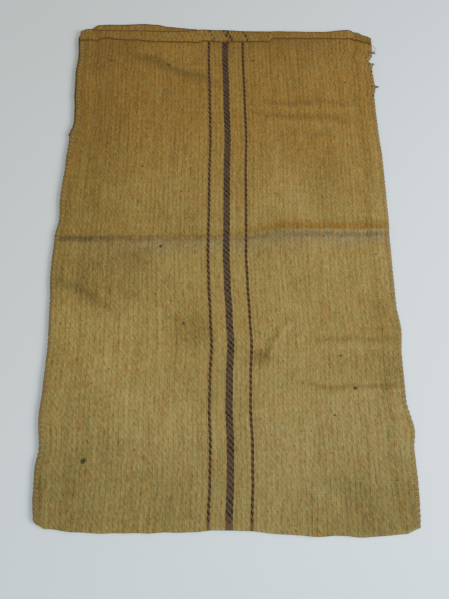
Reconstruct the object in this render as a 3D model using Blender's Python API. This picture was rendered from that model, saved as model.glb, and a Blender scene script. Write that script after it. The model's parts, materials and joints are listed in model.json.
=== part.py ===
"""Sack race bag: an empty jute sack lying flat, its mouth towards +Y and its front upwards.

One length of striped cloth makes the front, the bottom fold and the back. Its long edges are turned
in and oversewn with twine, and its ends are turned outwards as the hem of the mouth. The sack bends
in two ways: it folds in half at the crosswise crease, and its upper half opens at the mouth, where
front and back each bend along two slanting creases that run from the ends of the mouth hinge to
the straight middle of the mouth. The cloth is one flat plate for each stretch that stays straight.
"""

import math

import bmesh
import bpy
from mathutils import Vector

# Driving dimensions, in metres
SACK_WIDTH = 0.66
SACK_LENGTH = 1.05
CREASE_SHARE = 0.526  # the crosswise crease's height above the bottom, over the length
CREASE_BAND = 0.015  # from the fold's hinge to the mouth's hinge
MOUTH_FLAT = 0.11  # straight middle of the mouth, between the slanting creases
CLOTH = 0.0018  # thickness of one ply
TWINE = 0.0018
GAP = 0.0003
SEAM_GAP = 0.0006  # between the turned-in edges of front and back
HINGE_GAP = 0.0026  # room above the mouth's hinge for the front to swing up
ALLOWANCE_WIDTH = 0.025
HEM_WIDTH = 0.031
HEM_THREAD = 0.0016
TWINE_REACH = 0.008  # how far the side stitches reach in from the edge
BOTTOM_FOLD_DEPTH = 0.012
STRIPE_THICKNESS = 0.0005
STRIPES = {  # name: (centre, width)
    "left_thin": (-0.032, 0.005),
    "centre": (0.004, 0.013),
    "right_thin": (0.043, 0.005),
}
ARC_STEPS = 6
PIVOT_DISPLAY = 0.03  # size of the empties that mark the hinges

# Heights of the layers, worked out from the floor up
BACK_BOTTOM = TWINE + GAP
BACK_TOP = BACK_BOTTOM + CLOTH
BACK_TURNING = (BACK_TOP + GAP, BACK_TOP + GAP + CLOTH)
FRONT_TURNING = (BACK_TURNING[1] + SEAM_GAP, BACK_TURNING[1] + SEAM_GAP + CLOTH)
FRONT_BOTTOM = FRONT_TURNING[1] + GAP
FRONT_TOP = FRONT_BOTTOM + CLOTH
FACE_TOP = FRONT_TOP + GAP + TWINE
MIDDLE = FACE_TOP / 2

# Places across and along the sack
HALF_WIDTH = SACK_WIDTH / 2
PLY_EDGE = HALF_WIDTH - TWINE - GAP
BOTTOM = -SACK_LENGTH / 2
MOUTH = SACK_LENGTH / 2
CREASE = BOTTOM + CREASE_SHARE * SACK_LENGTH
MOUTH_HINGE = CREASE + CREASE_BAND
FRONT_START = MOUTH_HINGE + HINGE_GAP
HEM_EDGE = MOUTH - HEM_WIDTH
PLY_TOP = HEM_EDGE - GAP
CREASE_SLOPE = (HALF_WIDTH - MOUTH_FLAT / 2) / (MOUTH - MOUTH_HINGE)
FOLD_PIVOT = Vector((0, CREASE, FACE_TOP + GAP))
MOUTH_PIVOT = Vector((0, MOUTH_HINGE, MIDDLE))

SIDES = (("left", -1), ("right", 1))


def clear_scene():
    for item in list(bpy.data.objects):
        bpy.data.objects.remove(item, do_unlink=True)


def make_material(name, colour, roughness):
    material = bpy.data.materials.new(name)
    material.use_nodes = True
    shader = material.node_tree.nodes["Principled BSDF"]
    shader.inputs["Base Color"].default_value = (*colour, 1)
    shader.inputs["Roughness"].default_value = roughness
    shader.inputs["Metallic"].default_value = 0
    return material


def make_pivot(name, place, parent=None):
    """An empty on a hinge's axis. Pivots are only shifted, never turned."""
    pivot = bpy.data.objects.new(name, None)
    pivot.empty_display_size = PIVOT_DISPLAY
    pivot["place"] = place
    pivot.location = place
    if parent is not None:
        pivot.parent = parent
        pivot.location = place - Vector(parent["place"])
    bpy.context.collection.objects.link(pivot)
    return pivot


def loft(name, first, second, material, pivot=None):
    """A closed solid between two rings of as many points each, given in world coordinates."""
    mesh = bmesh.new()
    rings = [[mesh.verts.new(point) for point in ring] for ring in (first, second)]
    mesh.faces.new(rings[0])
    mesh.faces.new(reversed(rings[1]))
    for index in range(len(first)):
        after = (index + 1) % len(first)
        mesh.faces.new((rings[0][index], rings[1][index], rings[1][after], rings[0][after]))
    bmesh.ops.recalc_face_normals(mesh, faces=mesh.faces)
    data = bpy.data.meshes.new(name)
    mesh.to_mesh(data)
    mesh.free()
    data.materials.append(material)
    item = bpy.data.objects.new(name, data)
    bpy.context.collection.objects.link(item)
    if pivot is not None:
        item.parent = pivot
        item.location = -Vector(pivot["place"])
    return item


def plate(name, outline, low, high, material, pivot=None):
    """A flat piece of cloth or yarn with this outline, between two heights."""
    first = [(x, y, low) for x, y in outline]
    second = [(x, y, high) for x, y in outline]
    return loft(name, first, second, material, pivot)


def rectangle(left, right, low, high):
    return [(left, low), (right, low), (right, high), (left, high)]


def slant(y, side, shift=0.0):
    """Where the slanting crease of one side passes at y, moved outwards by shift."""
    return side * (HALF_WIDTH - (y - MOUTH_HINGE) * CREASE_SLOPE + shift)


def cut_by_slant(outline, side, keep_outer):
    """Cuts an outline along one side's slanting crease, and keeps half a gap clear of it."""
    shift = GAP / 2 if keep_outer else -GAP / 2

    def depth(point):
        across = side * point[0] - side * slant(point[1], side, shift)
        return across if keep_outer else -across

    kept = []
    for index, point in enumerate(outline):
        before = outline[index - 1]
        here, there = depth(point), depth(before)
        if (here > 0) != (there > 0):
            share = there / (there - here)
            kept.append(tuple(b + share * (p - b) for b, p in zip(before, point)))
        if here > 0:
            kept.append(point)
    return kept


def between_slants(outline):
    return cut_by_slant(cut_by_slant(outline, -1, False), 1, False)


def fold_profile(open_y, tip_y, low, high):
    """The (y, z) section of cloth folded back on itself, from its open side to its round tip."""
    forward = 1 if tip_y > open_y else -1
    radius = (high - low) / 2
    centre = (tip_y - forward * radius, (high + low) / 2)

    def arc(size):
        angles = [math.pi * (step / ARC_STEPS - 0.5) for step in range(ARC_STEPS + 1)]
        return [(centre[0] + forward * size * math.cos(a), centre[1] + size * math.sin(a)) for a in angles]

    outer = [(open_y, low)] + arc(radius) + [(open_y, high)]
    inner = [(open_y, low + CLOTH)] + arc(radius - CLOTH) + [(open_y, high - CLOTH)]
    return outer + inner[::-1]


def folded_strip(name, profile, left, right, material, pivot=None):
    """Folded cloth that runs across the sack. left and right give x at each y."""
    first = [(left(y), y, z) for y, z in profile]
    second = [(right(y), y, z) for y, z in profile]
    return loft(name, first, second, material, pivot)


def edge_strip(name, profile, start, end, material, pivot=None):
    """A strip along the sack's edge, from its (x, z) section."""
    first = [(x, start, z) for x, z in profile]
    second = [(x, end, z) for x, z in profile]
    return loft(name, first, second, material, pivot)


def seam_around_edge(side):
    """Section of the side stitches where they go round both plies: a channel."""
    outer, inner = side * HALF_WIDTH, side * (HALF_WIDTH - TWINE)
    reach = side * (HALF_WIDTH - TWINE_REACH)
    return [
        (outer, 0),
        (reach, 0),
        (reach, TWINE),
        (inner, TWINE),
        (inner, FACE_TOP - TWINE),
        (reach, FACE_TOP - TWINE),
        (reach, FACE_TOP),
        (outer, FACE_TOP),
    ]


def seam_half(side, face):
    """Section of the half of the side stitches on one face, from the middle of the stack."""
    outer, inner = side * HALF_WIDTH, side * (HALF_WIDTH - TWINE)
    reach = side * (HALF_WIDTH - TWINE_REACH)
    top = MIDDLE + face * MIDDLE
    under = top - face * TWINE
    root = MIDDLE + face * SEAM_GAP / 2
    return [(outer, root), (inner, root), (inner, under), (reach, under), (reach, top), (outer, top)]


def turned_in_edge(side):
    """The strip of cloth turned in at one side, as x limits from low to high."""
    edges = (side * PLY_EDGE, side * (PLY_EDGE - ALLOWANCE_WIDTH))
    return min(edges), max(edges)


def build_lower_half(cloth, twine, yarns):
    fold_top = BOTTOM + BOTTOM_FOLD_DEPTH
    sheet = rectangle(-PLY_EDGE, PLY_EDGE, fold_top + GAP, CREASE - GAP / 2)
    plate("lower_front_panel", sheet, FRONT_BOTTOM, FRONT_TOP, cloth)
    plate("lower_back_panel", sheet, BACK_BOTTOM, BACK_TOP, cloth)
    profile = fold_profile(fold_top, BOTTOM, BACK_BOTTOM, FRONT_TOP)
    folded_strip("bottom_fold", profile, lambda y: -PLY_EDGE, lambda y: PLY_EDGE, cloth)
    for label, side in SIDES:
        edge = rectangle(*turned_in_edge(side), fold_top + GAP, CREASE - GAP / 2)
        plate(f"lower_front_{label}_turned_in_edge", edge, *FRONT_TURNING, cloth)
        plate(f"lower_back_{label}_turned_in_edge", edge, *BACK_TURNING, cloth)
        edge_strip(f"lower_{label}_seam_twine", seam_around_edge(side), BOTTOM, CREASE - GAP / 2, twine)
    for label, (centre, width) in STRIPES.items():
        band = rectangle(centre - width / 2, centre + width / 2, fold_top + GAP, CREASE - GAP / 2)
        plate(f"lower_front_{label}_stripe", band, *stripe_heights(1), yarns[label])
        plate(f"lower_back_{label}_stripe", band, *stripe_heights(-1), yarns[label])


def stripe_heights(face):
    """Heights of the coloured yarns on the front (1) or the back (-1)."""
    if face > 0:
        return FRONT_TOP + GAP, FRONT_TOP + GAP + STRIPE_THICKNESS
    return BACK_BOTTOM - GAP - STRIPE_THICKNESS, BACK_BOTTOM - GAP


def build_crease_band(cloth, twine, yarns, pivot):
    """The short band above the fold's hinge, which both plies share up to the mouth's hinge."""
    start = CREASE + GAP / 2
    band = rectangle(-PLY_EDGE, PLY_EDGE, start, MOUTH_HINGE)
    plate("crease_band_front", band, FRONT_BOTTOM, FRONT_TOP, cloth, pivot)
    for label, side in SIDES:
        edge = rectangle(*turned_in_edge(side), start, MOUTH_HINGE)
        plate(f"crease_band_{label}_turned_in_edges", edge, BACK_TURNING[0], FRONT_TURNING[1], cloth, pivot)
        edge_strip(f"crease_band_{label}_seam_twine", seam_around_edge(side), start, MOUTH_HINGE, twine, pivot)
    for label, (centre, width) in STRIPES.items():
        band = rectangle(centre - width / 2, centre + width / 2, start, MOUTH_HINGE)
        plate(f"crease_band_{label}_stripe", band, *stripe_heights(1), yarns[label], pivot)


def build_hem(name, face, left, right, cloth, thread, pivot):
    """One stretch of the mouth's outward hem, and the thread along its edge."""
    if face > 0:
        low, high = FRONT_BOTTOM, FACE_TOP
        thread_low, thread_high = FACE_TOP - HEM_THREAD, FACE_TOP
    else:
        low, high = 0, BACK_TOP
        thread_low, thread_high = 0, HEM_THREAD
    folded_strip(name + "_hem", fold_profile(HEM_EDGE, MOUTH, low, high), left, right, cloth, pivot)
    lower, upper = PLY_TOP - HEM_THREAD, PLY_TOP
    line = [(left(lower), lower), (right(lower), lower), (right(upper), upper), (left(upper), upper)]
    plate(name + "_hem_thread", line, thread_low, thread_high, thread, pivot)


def build_middle(name, face, start, cloth, thread, yarns, pivot):
    """The stretch of one ply between the slanting creases, with its hem and coloured yarns."""
    heights = (FRONT_BOTTOM, FRONT_TOP) if face > 0 else (BACK_BOTTOM, BACK_TOP)
    sheet = rectangle(-PLY_EDGE, PLY_EDGE, start, PLY_TOP)
    plate(name + "_panel", between_slants(sheet), *heights, cloth, pivot)
    build_hem(
        name,
        face,
        lambda y: slant(y, -1, -GAP / 2),
        lambda y: slant(y, 1, -GAP / 2),
        cloth,
        thread,
        pivot,
    )
    top = PLY_TOP - HEM_THREAD - GAP
    for label, (centre, width) in STRIPES.items():
        band = rectangle(centre - width / 2, centre + width / 2, start, top)
        plate(f"{name}_{label}_stripe", band, *stripe_heights(face), yarns[label], pivot)


def build_side(name, face, side, cloth, twine, thread, pivot):
    """The stretch of one ply outside a slanting crease, with its turned-in edge, twine and hem."""
    heights = (FRONT_BOTTOM, FRONT_TOP) if face > 0 else (BACK_BOTTOM, BACK_TOP)
    turning = FRONT_TURNING if face > 0 else BACK_TURNING
    sheet = rectangle(-PLY_EDGE, PLY_EDGE, FRONT_START, PLY_TOP)
    plate(name + "_panel", cut_by_slant(sheet, side, True), *heights, cloth, pivot)
    edge = rectangle(*turned_in_edge(side), FRONT_START, MOUTH - GAP)
    plate(name + "_turned_in_edge", cut_by_slant(edge, side, True), *turning, cloth, pivot)
    twine_top = PLY_TOP - HEM_THREAD - GAP
    twine_start = MOUTH_HINGE + TWINE_REACH / CREASE_SLOPE
    edge_strip(name + "_seam_twine", seam_half(side, face), twine_start, twine_top, twine, pivot)
    ends = [lambda y: side * PLY_EDGE, lambda y: slant(y, side, GAP / 2)]
    if side > 0:
        ends.reverse()
    build_hem(name, face, *ends, cloth, thread, pivot)


def main():
    clear_scene()
    cloth = make_material("jute_cloth", (0.27, 0.185, 0.068), 0.95)
    twine = make_material("jute_twine", (0.36, 0.26, 0.11), 0.9)
    thread = make_material("hem_thread", (0.16, 0.09, 0.03), 0.9)
    dark_yarn = make_material("dark_yarn", (0.06, 0.04, 0.025), 0.9)
    thin_yarn = make_material("thin_line_yarn", (0.09, 0.045, 0.03), 0.9)
    yarns = {"left_thin": thin_yarn, "centre": dark_yarn, "right_thin": thin_yarn}

    fold_pivot = make_pivot("fold_pivot", FOLD_PIVOT)
    mouth_pivot = make_pivot("mouth_pivot", MOUTH_PIVOT, fold_pivot)

    build_lower_half(cloth, twine, yarns)
    build_crease_band(cloth, twine, yarns, fold_pivot)
    build_middle("upper_back_middle", -1, CREASE + GAP / 2, cloth, thread, yarns, fold_pivot)
    build_middle("upper_front_middle", 1, FRONT_START, cloth, thread, yarns, mouth_pivot)
    for face_label, face, parent in (("back", -1, fold_pivot), ("front", 1, mouth_pivot)):
        for label, side in SIDES:
            name = f"upper_{face_label}_{label}"
            place = Vector((side * HALF_WIDTH, MOUTH_HINGE, MIDDLE))
            pivot = make_pivot(name + "_pivot", place, parent)
            build_side(name, face, side, cloth, twine, thread, pivot)
    bpy.context.view_layer.update()


main()
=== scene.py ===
"""Looks of the sack race bag: jute twill, dark woven stripes, oversewn sides and a hemmed mouth.

Each ply is a grid of points placed by one function, so neighbouring pieces share their borders.
Cloth coordinates are metres of cloth: u across the sack, v along it. v equals y on the front, runs
on round the mouth into the hem, and runs on round the bottom on to the back.
"""

import json
import math
import random

import bpy
import numpy as np
from mathutils import Matrix, Vector, noise


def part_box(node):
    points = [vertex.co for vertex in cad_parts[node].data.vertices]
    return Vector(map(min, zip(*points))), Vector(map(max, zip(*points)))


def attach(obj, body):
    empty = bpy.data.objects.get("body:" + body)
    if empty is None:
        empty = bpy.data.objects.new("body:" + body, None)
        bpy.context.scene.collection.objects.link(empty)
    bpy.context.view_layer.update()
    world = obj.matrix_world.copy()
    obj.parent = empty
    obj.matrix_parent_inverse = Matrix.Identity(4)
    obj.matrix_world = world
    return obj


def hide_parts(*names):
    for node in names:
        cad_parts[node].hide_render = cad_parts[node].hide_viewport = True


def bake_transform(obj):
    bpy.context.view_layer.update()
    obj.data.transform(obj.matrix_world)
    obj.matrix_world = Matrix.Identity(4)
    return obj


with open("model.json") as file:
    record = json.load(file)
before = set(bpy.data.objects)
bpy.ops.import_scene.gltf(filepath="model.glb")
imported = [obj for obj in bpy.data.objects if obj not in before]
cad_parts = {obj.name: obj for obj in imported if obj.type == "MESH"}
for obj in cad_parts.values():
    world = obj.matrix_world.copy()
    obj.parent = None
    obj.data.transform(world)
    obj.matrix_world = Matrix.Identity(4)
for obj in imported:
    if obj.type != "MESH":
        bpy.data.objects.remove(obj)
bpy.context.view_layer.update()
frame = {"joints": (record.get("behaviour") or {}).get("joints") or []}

# Places and sizes read from the frame
JOINTS = {joint["name"]: joint for joint in frame["joints"]}
CREASE = JOINTS["fold_in_half"]["pos_m"][1]
MOUTH_HINGE = JOINTS["mouth_open"]["pos_m"][1]
PANEL_LOW, PANEL_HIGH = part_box("lower_front_panel")
BACK_LOW, BACK_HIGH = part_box("lower_back_panel")
FOLD_LOW, FOLD_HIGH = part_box("bottom_fold")
HEM_LOW, HEM_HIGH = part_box("upper_front_middle_hem")
TWINE_LOW, TWINE_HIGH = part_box("lower_right_seam_twine")
ALLOWANCE_LOW, ALLOWANCE_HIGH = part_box("lower_front_right_turned_in_edge")
HALF_WIDTH = TWINE_HIGH.x
CLOTH = PANEL_HIGH.z - PANEL_LOW.z
FRONT_Z = (PANEL_LOW.z + PANEL_HIGH.z) / 2
BACK_Z = (BACK_LOW.z + BACK_HIGH.z) / 2
MIDDLE_Z = HEM_HIGH.z / 2
BOTTOM = FOLD_LOW.y
MOUTH = HEM_HIGH.y
FOLD_TOP = FOLD_HIGH.y
HEM_WIDTH = HEM_HIGH.y - HEM_LOW.y
ALLOWANCE = ALLOWANCE_HIGH.x - ALLOWANCE_LOW.x
STITCH_REACH = TWINE_HIGH.x - TWINE_LOW.x
STRIPES = {
    label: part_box(f"lower_front_{label}_stripe") for label in ("left_thin", "centre", "right_thin")
}

# Turns of the cloth, measured at the middle of its thickness
TURN = 0.00105
TURN_LENGTH = math.pi * TURN
SIDE_TURN = PANEL_HIGH.x - CLOTH / 2 - TURN
MOUTH_TURN = MOUTH - CLOTH / 2 - TURN
FOLD_RADIUS = (FRONT_Z - BACK_Z) / 2
FOLD_LENGTH = math.pi * FOLD_RADIUS
FOLD_TURN = BOTTOM + CLOTH / 2 + FOLD_RADIUS
BACK_START = FOLD_TURN - FOLD_LENGTH

# The twill: its warp yarns run in pairs, over two picks and under the third, and the reed has left
# a thin place after every third pair
PAIR = 0.0029
WEFT_PITCH = 0.00377
REPEAT = 3
FLOAT_SHARE = 0.7

# Where the upper plies are divided, between the left line and the middle stripe
SPLIT = -0.014
GRID = 0.003
ALLOWANCE_GRID = 0.008
STITCH_PITCH = 0.009
TWINE_RADIUS = 0.001
FIBRE_RADIUS = 0.00013
SLANT_BAND = 0.03
FINE_BAND = 0.024  # rows of the grid are closer together within this of the crease
SLACK_HEIGHT = 0.0053  # of the middle of the front ply, where nothing holds it up
BACK_SAG = 0.0009
BACK_HEM_LIFT = 0.0008

# Room to move at the hinge of the mouth: how far the upper yarns, the stitches and the hairs keep off
YARN_GAP = 0.0018
LOWER_STITCH_GAP = 0.009
UPPER_STITCH_GAP = 0.004
HAIR_GAP = 0.012

# The laps that close the left seam when the mouth opens
LAP_OUT = {1: 0.0014, -1: 0.0003}  # how far outside the edge the front's and the back's lie
LAP_TURN = math.radians(20.0)  # how far each turns past the middle
LAP_SPARE = 0.0020  # how much further it goes, because the two edges draw apart
LAP_ROOT = 0.0010  # how far outside the middle of its own ply's turn it starts
LAP_DEPTH = 0.0056  # as far past the middle as it can reach and stay clear of the floor
LAP_WIDTH = 0.0065  # its mean width
LAP_THICKNESS = 0.0004
LAP_CLEARANCE = 0.0014  # how much further out the stitches run over it
LAP_START = 0.25
LAP_END = 0.512

CORNERS = (("left", -1), ("right", 1))
FACES = (("front", 1), ("back", -1))

# How far the worn outline strays from the CAD's straight edges: (place, offset) in metres
LEFT_EDGE = [
    (-0.52, -0.002), (-0.48, -0.004), (-0.42, -0.005), (-0.39, -0.001), (-0.33, -0.006), (-0.28, -0.003),
    (-0.20, -0.001), (-0.12, -0.004), (-0.05, -0.008), (0.02, -0.006), (0.06, 0.0), (0.10, -0.002),
    (0.19, 0.003), (0.24, 0.006), (0.285, 0.0150), (0.316, 0.0142), (0.35, 0.0115), (0.41, 0.0105),
    (0.455, 0.0135), (0.50, 0.0110),
]
RIGHT_EDGE = [
    (-0.52, 0.007), (-0.45, 0.009), (-0.39, 0.008), (-0.36, 0.012), (-0.30, 0.002), (-0.22, 0.002),
    (-0.17, 0.006), (-0.12, 0.001), (0.02, 0.001), (0.06, 0.0025), (0.20, 0.0025), (0.27, -0.001),
    (0.32, -0.002), (0.352, -0.002), (0.372, 0.002), (0.40, 0.0), (0.42, -0.002), (0.435, 0.001),
    (0.456, -0.008), (0.475, 0.002), (0.51, 0.003),
]
BOTTOM_EDGE = [
    (-0.33, 0.022), (-0.318, 0.011), (-0.305, 0.005), (-0.25, -0.001), (-0.20, -0.003), (-0.07, -0.002),
    (-0.02, 0.001), (0.03, 0.0), (0.10, -0.006), (0.15, -0.010), (0.20, -0.009), (0.24, -0.012),
    (0.30, -0.007), (0.33, 0.003),
]
FRONT_MOUTH = [
    (-0.33, -0.009), (-0.311, -0.002), (-0.295, -0.002), (-0.232, -0.003), (-0.10, -0.003), (-0.07, -0.001),
    (-0.045, 0.001), (0.0, 0.0), (0.065, -0.003), (0.22, -0.003), (0.28, 0.004), (0.295, -0.004),
    (0.312, -0.014), (0.33, -0.022),
]
BACK_MOUTH = [
    (-0.33, -0.018), (-0.311, 0.003), (-0.284, 0.0165), (-0.255, 0.0185), (-0.23, 0.018), (-0.177, 0.021),
    (-0.15, 0.0185), (-0.12, 0.0135), (-0.09, 0.0100), (-0.065, 0.0075), (-0.04, -0.001), (0.0, -0.002),
    (0.28, 0.001), (0.30, -0.006), (0.33, -0.025),
]
# How far the stripes stray to the right along the sack
DRIFT = [
    (-0.52, 0.0015), (-0.44, 0.0045), (-0.38, 0.0052), (-0.32, 0.0030), (-0.26, 0.0043), (-0.20, 0.0072),
    (-0.14, 0.0045), (-0.08, 0.0015), (-0.02, -0.0002), (0.08, 0.0013), (0.16, 0.0020), (0.25, 0.0042),
    (0.34, 0.0024), (0.46, 0.0002),
]
CREASE_LINE = [(-0.33, -0.011), (-0.1, -0.005), (0.0, -0.006), (0.06, 0.003), (0.2, 0.010), (0.33, 0.009)]
# The hem's width along the front, over its mean width
HEM_SHARE = [
    (-0.33, 0.86), (-0.309, 0.98), (-0.282, 0.96), (-0.272, 0.77), (-0.258, 0.68), (-0.234, 0.80),
    (-0.196, 0.84), (-0.17, 0.93), (-0.096, 0.99), (-0.067, 1.12), (-0.052, 1.0), (-0.01, 1.03),
    (0.06, 0.92), (0.088, 0.92), (0.105, 0.63), (0.225, 0.58), (0.27, 0.76), (0.33, 0.62),
]
HEM_SKEW = 0.011  # the hem was sewn down this far to the right of the cloth it lies on
# Soft folds in the front: ends, height and half width
WRINKLES = [
    ((0.05, 0.326), (0.31, 0.326), 0.0024, 0.011),
    ((0.04, 0.294), (0.31, 0.282), 0.0028, 0.012),
    ((0.12, 0.248), (0.31, 0.246), 0.0018, 0.012),
    ((-0.16, 0.444), (-0.01, 0.366), 0.0030, 0.013),
    ((-0.33, -0.074), (-0.22, -0.140), 0.0026, 0.012),
    ((0.194, 0.03), (0.188, -0.20), 0.0010, 0.005),
    ((0.15, -0.198), (0.33, -0.192), 0.0026, 0.009),
    ((0.12, -0.291), (0.33, -0.286), 0.0026, 0.009),
    ((0.066, -0.228), (0.125, -0.130), 0.0022, 0.008),
    ((0.10, 0.146), (0.16, 0.068), 0.0022, 0.014),
    ((-0.262, 0.02), (-0.252, -0.12), 0.0018, 0.014),
    ((0.012, -0.08), (0.012, -0.24), 0.0008, 0.006),
    ((-0.308, -0.30), (-0.21, -0.51), 0.0016, 0.020),
    ((-0.314, -0.39), (-0.307, -0.51), 0.0032, 0.006),
    ((0.20, 0.46), (0.17, 0.36), 0.0014, 0.016),
    ((0.27, -0.32), (0.24, -0.48), 0.0014, 0.016),
]
# Darker and lighter areas of the front, partly soil and bleaching and partly painted shade and painted
# light: centre, size and how much lighter they are
AREAS = [
    ((-0.27, 0.48), (0.15, 0.11), -0.16), ((-0.28, 0.25), (0.12, 0.24), -0.18),
    ((-0.25, -0.06), (0.17, 0.10), -0.29), ((-0.28, 0.06), (0.12, 0.06), -0.11),
    ((-0.30, -0.46), (0.14, 0.12), -0.14),
    ((0.29, -0.49), (0.20, 0.12), -0.28), ((0.28, -0.24), (0.13, 0.060), -0.16),
    ((0.32, -0.18), (0.08, 0.26), -0.17), ((-0.07, -0.17), (0.07, 0.05), -0.20),
    ((0.14, 0.50), (0.24, 0.09), -0.22), ((0.20, 0.17), (0.06, 0.12), -0.12),
    ((0.335, 0.548), (0.045, 0.040), -0.45), ((0.062, -0.224), (0.032, 0.026), -0.38),
    ((-0.18, -0.25), (0.16, 0.13), 0.16), ((-0.10, -0.35), (0.13, 0.10), 0.20),
    ((0.115, 0.11), (0.06, 0.07), 0.13), ((0.09, -0.37), (0.08, 0.12), 0.12),
    ((0.10, -0.05), (0.16, 0.12), -0.06),
]
# Painted shade along the folds, with dirt gathered in them: ends, half width and how much darker it is
FOLD_SHADE_AND_DIRT = [
    ((-0.225, 0.472), (0.0, 0.368), 0.018, 0.24), ((0.06, 0.335), (0.29, 0.335), 0.011, 0.12),
    ((0.04, 0.308), (0.30, 0.291), 0.013, 0.15), ((-0.33, -0.060), (-0.20, -0.140), 0.016, 0.18),
    ((0.14, -0.190), (0.34, -0.186), 0.010, 0.16), ((0.12, -0.284), (0.34, -0.280), 0.010, 0.18),
    ((0.07, -0.215), (0.125, -0.130), 0.013, 0.16),
]
# Bits of bark caught in the front's yarn: place, length and direction in degrees
BARK_BITS = [
    ((-0.250, -0.408), 0.009, 60), ((0.238, -0.281), 0.007, 20), ((-0.119, 0.431), 0.006, 80),
    ((0.065, 0.445), 0.006, 70), ((-0.125, 0.001), 0.006, 50), ((-0.083, -0.157), 0.005, 30),
    ((0.213, -0.220), 0.005, 10), ((-0.246, 0.440), 0.005, 15), ((0.265, 0.388), 0.004, 5),
    ((0.196, -0.330), 0.004, 40), ((-0.170, 0.180), 0.004, 100), ((0.090, 0.300), 0.004, 20),
]
# Loops of loose twine at the right edge: height up the sack, how far each stands out, its length
LOOSE_LOOPS = [(0.488, 0.011, 0.032), (0.462, 0.004, 0.012), (0.415, 0.004, 0.014), (0.350, 0.003, 0.012)]
# Knots and frayed ends of the twine at the right edge: height up the sack, reach, number of strands
FRAYED_ENDS = [(0.478, 0.009, 11), (0.439, 0.006, 8), (0.375, 0.008, 10)]


def follow(points, place):
    """Reads a profile of (place, value) points, turning smoothly at each."""
    if place <= points[0][0]:
        return points[0][1]
    for (before, first), (after, second) in zip(points, points[1:]):
        if place <= after:
            return first + (second - first) * smooth(before, after, place)
    return points[-1][1]


def smooth(start, end, value):
    share = min(max((value - start) / (end - start), 0.0), 1.0)
    return share * share * (3 - 2 * share)


def steps(start, end, size):
    """Evenly spaced places from start to end, both included."""
    count = max(1, round(abs(end - start) / size))
    return [start + (end - start) * index / count for index in range(count + 1)]


def joined(*runs):
    """Runs of places set end to end, without repeating the place where two meet."""
    places = list(runs[0])
    for run in runs[1:]:
        places.extend(run[1:])
    return places


# ---------------------------------------------------------------- the shape of the cloth


def wrinkle_height(x, y):
    height = 0.0
    for (x0, y0), (x1, y1), peak, width in WRINKLES:
        dx, dy = x1 - x0, y1 - y0
        length = math.hypot(dx, dy)
        along = ((x - x0) * dx + (y - y0) * dy) / length / length
        if 0 < along < 1:
            aside = abs((x - x0) * dy - (y - y0) * dx) / length
            height += peak * math.sin(math.pi * along) * math.exp(-((aside / width) ** 2))
    return height


def crease_ridge(x, y):
    """The pressed crease is a narrow ridge with a shallow trough below it."""
    away = y - CREASE - follow(CREASE_LINE, x)
    ridge = 0.0012 * math.exp(-((away / 0.0032) ** 2))
    return ridge - 0.0007 * math.exp(-(((away + 0.008) / 0.006) ** 2))


def ply_height(x, y, face):
    """Height of the middle of a ply: high over the turned-in edges, sagging between them."""
    side = smooth(HALF_WIDTH - 0.048, HALF_WIDTH - 0.026, abs(x))
    end = smooth(MOUTH - 0.075, MOUTH - 0.04, y)
    bottom = 1 - smooth(FOLD_TOP, FOLD_TOP + 0.03, y)
    if face < 0:
        sag = BACK_SAG * (1 - max(side, end, bottom))
        return BACK_Z - sag + BACK_HEM_LIFT * end * (1 - side)
    held = max(side, bottom, 0.25 * end)
    rest = SLACK_HEIGHT + (FRONT_Z - SLACK_HEIGHT) * held
    broad = 0.0030 * (0.5 + noise.noise(Vector((x * 6.5, y * 5.0, 1.7))))
    fine = 0.0009 * (0.5 + noise.noise(Vector((x * 24, y * 17, 8.1))))
    return rest + (broad + fine) * (1 - 0.55 * held) + crease_ridge(x, y) + wrinkle_height(x, y)


def warped(x, y, face):
    """Moves a point of the flat sack to where the worn, uneven outline puts it."""
    pull = smooth(0.10, HALF_WIDTH, abs(x))
    edge = follow(LEFT_EDGE if x < 0 else RIGHT_EDGE, y) * smooth(0.23, HALF_WIDTH, abs(x))
    pucker = 0.0011 * math.cos(2 * math.pi * y / STITCH_PITCH) * smooth(0.31, HALF_WIDTH, abs(x))
    ragged = 0.0012 * noise.noise(Vector((y * 38, math.copysign(4.0, x), 0.3)))
    outwards = math.copysign(pucker + ragged * pull, x)
    new_x = x + follow(DRIFT, y) * (1 - pull) + edge + outwards
    mouth = follow(FRONT_MOUTH if face > 0 else BACK_MOUTH, x)
    mouth += 0.0010 * noise.noise(Vector((x * 30, 2.0 * face, 0.9)))
    bottom = follow(BOTTOM_EDGE, x) + 0.0012 * noise.noise(Vector((x * 34, 7.0, 0.1)))
    new_y = y + mouth * smooth(MOUTH - 0.13, MOUTH, y)
    new_y += bottom * (1 - smooth(BOTTOM, BOTTOM + 0.10, y))
    return new_x, new_y


def side_turn(u):
    """Across the cloth: where u lies in x, and how far it has turned in towards the other ply."""
    over = abs(u) - SIDE_TURN
    if over <= 0:
        return u, 0.0
    if over < TURN_LENGTH:
        angle = over / TURN
        return math.copysign(SIDE_TURN + TURN * math.sin(angle), u), TURN * (1 - math.cos(angle))
    return math.copysign(SIDE_TURN - (over - TURN_LENGTH), u), 2 * TURN


def mouth_turn(s, x):
    """Along a ply: where s lies in y, and how far it has turned outwards into the hem."""
    over = s - MOUTH_TURN
    if over <= 0:
        return s, 0.0
    if over < TURN_LENGTH:
        angle = over / TURN
        return MOUTH_TURN + TURN * math.sin(angle), TURN * (1 - math.cos(angle))
    return MOUTH_TURN - (over - TURN_LENGTH) * follow(HEM_SHARE, x), 2 * TURN


def hem_depth(s):
    """How far down the hem s lies, from 0 at the mouth's turn to 1 at the cut end."""
    return (s - MOUTH_TURN - TURN_LENGTH) / HEM_WIDTH


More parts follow.
